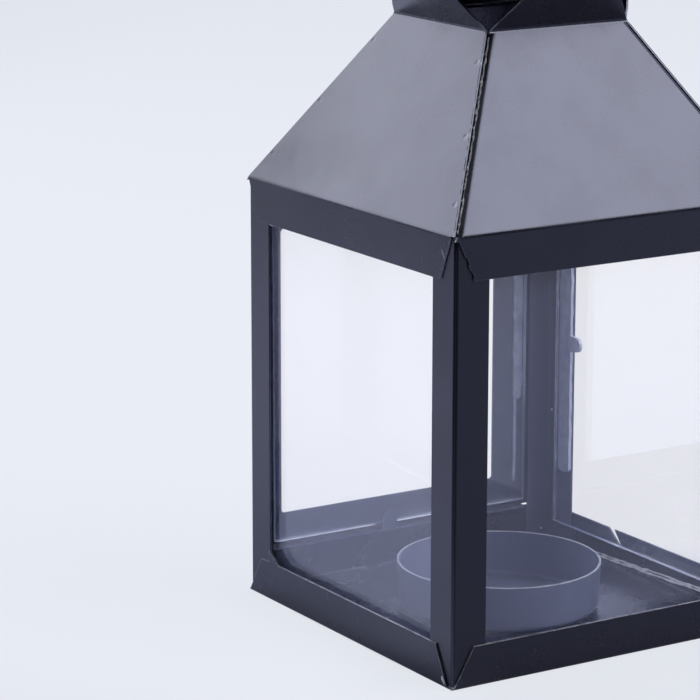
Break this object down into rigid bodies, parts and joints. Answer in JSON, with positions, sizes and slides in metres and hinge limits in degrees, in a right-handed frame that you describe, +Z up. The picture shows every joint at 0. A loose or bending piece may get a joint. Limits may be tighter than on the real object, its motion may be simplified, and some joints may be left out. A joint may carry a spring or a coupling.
{
  "type": "candle lantern",
  "caption": "Square black sheet-metal candle lantern with glass sides, a hinged glass door, a folded pyramid roof with a vented cap, and a hanging ring.",
  "frame": {"origin": "middle of the footprint, on the surface the lantern stands on; the lantern's own axis lies a little towards -Y, because the door's knob stands out on +Y", "axes": "+Z up; the door is on the +Y side; +X and +Y walls meet at the back corner, where the door is hinged"},
  "size_m": [0.08, 0.0842, 0.172],
  "materials": {
    "black_paint": "semi-gloss black paint on folded sheet",
    "black_fitting": "semi-gloss black paint on wire and turned fittings",
    "pin_steel": "bare drawn wire",
    "clear_glass": "clear float glass with ground edges",
    "clear_silicone": "clear silicone sealant"
  },
  "bodies": {
    "lantern": {"base_tray": "black_paint", "post_front": "black_paint", "post_right": "black_paint", "post_back": "black_paint", "post_left": "black_paint", "candle_cup": "black_paint", "roof_panel_front_right": "black_paint", "roof_panel_back_right": "black_paint", "roof_panel_back_left": "black_paint", "roof_panel_front_left": "black_paint", "cap": "black_paint", "pane_front_right": "clear_glass", "pane_back_right": "clear_glass", "pane_front_left": "clear_glass", "bead_front_right": "clear_silicone", "bead_back_right": "clear_silicone", "bead_front_left": "clear_silicone", "hinge_post_leaves": "black_paint", "hinge_pins": "pin_steel", "cap_eye": "black_fitting"},
    "door": {"door_frame": "black_paint", "door_glass": "clear_glass", "door_bead": "clear_silicone", "hinge_door_leaves": "black_paint", "door_knob": "black_fitting"},
    "ring": {"hanging_ring": "black_fitting"}
  },
  "joints": [
    {"name": "door_hinge", "type": "hinge", "parent": "lantern", "child": "door", "pos_m": [0.0334, 0.0396, 0.046], "axis": [0, 0, -1], "range_deg": [0, 170]},
    {"name": "ring_swing", "type": "hinge", "parent": "lantern", "child": "ring", "pos_m": [0, -0.0021, 0.16721], "axis": [0, -1, 0], "range_deg": [0, 252.5]}
  ]
}
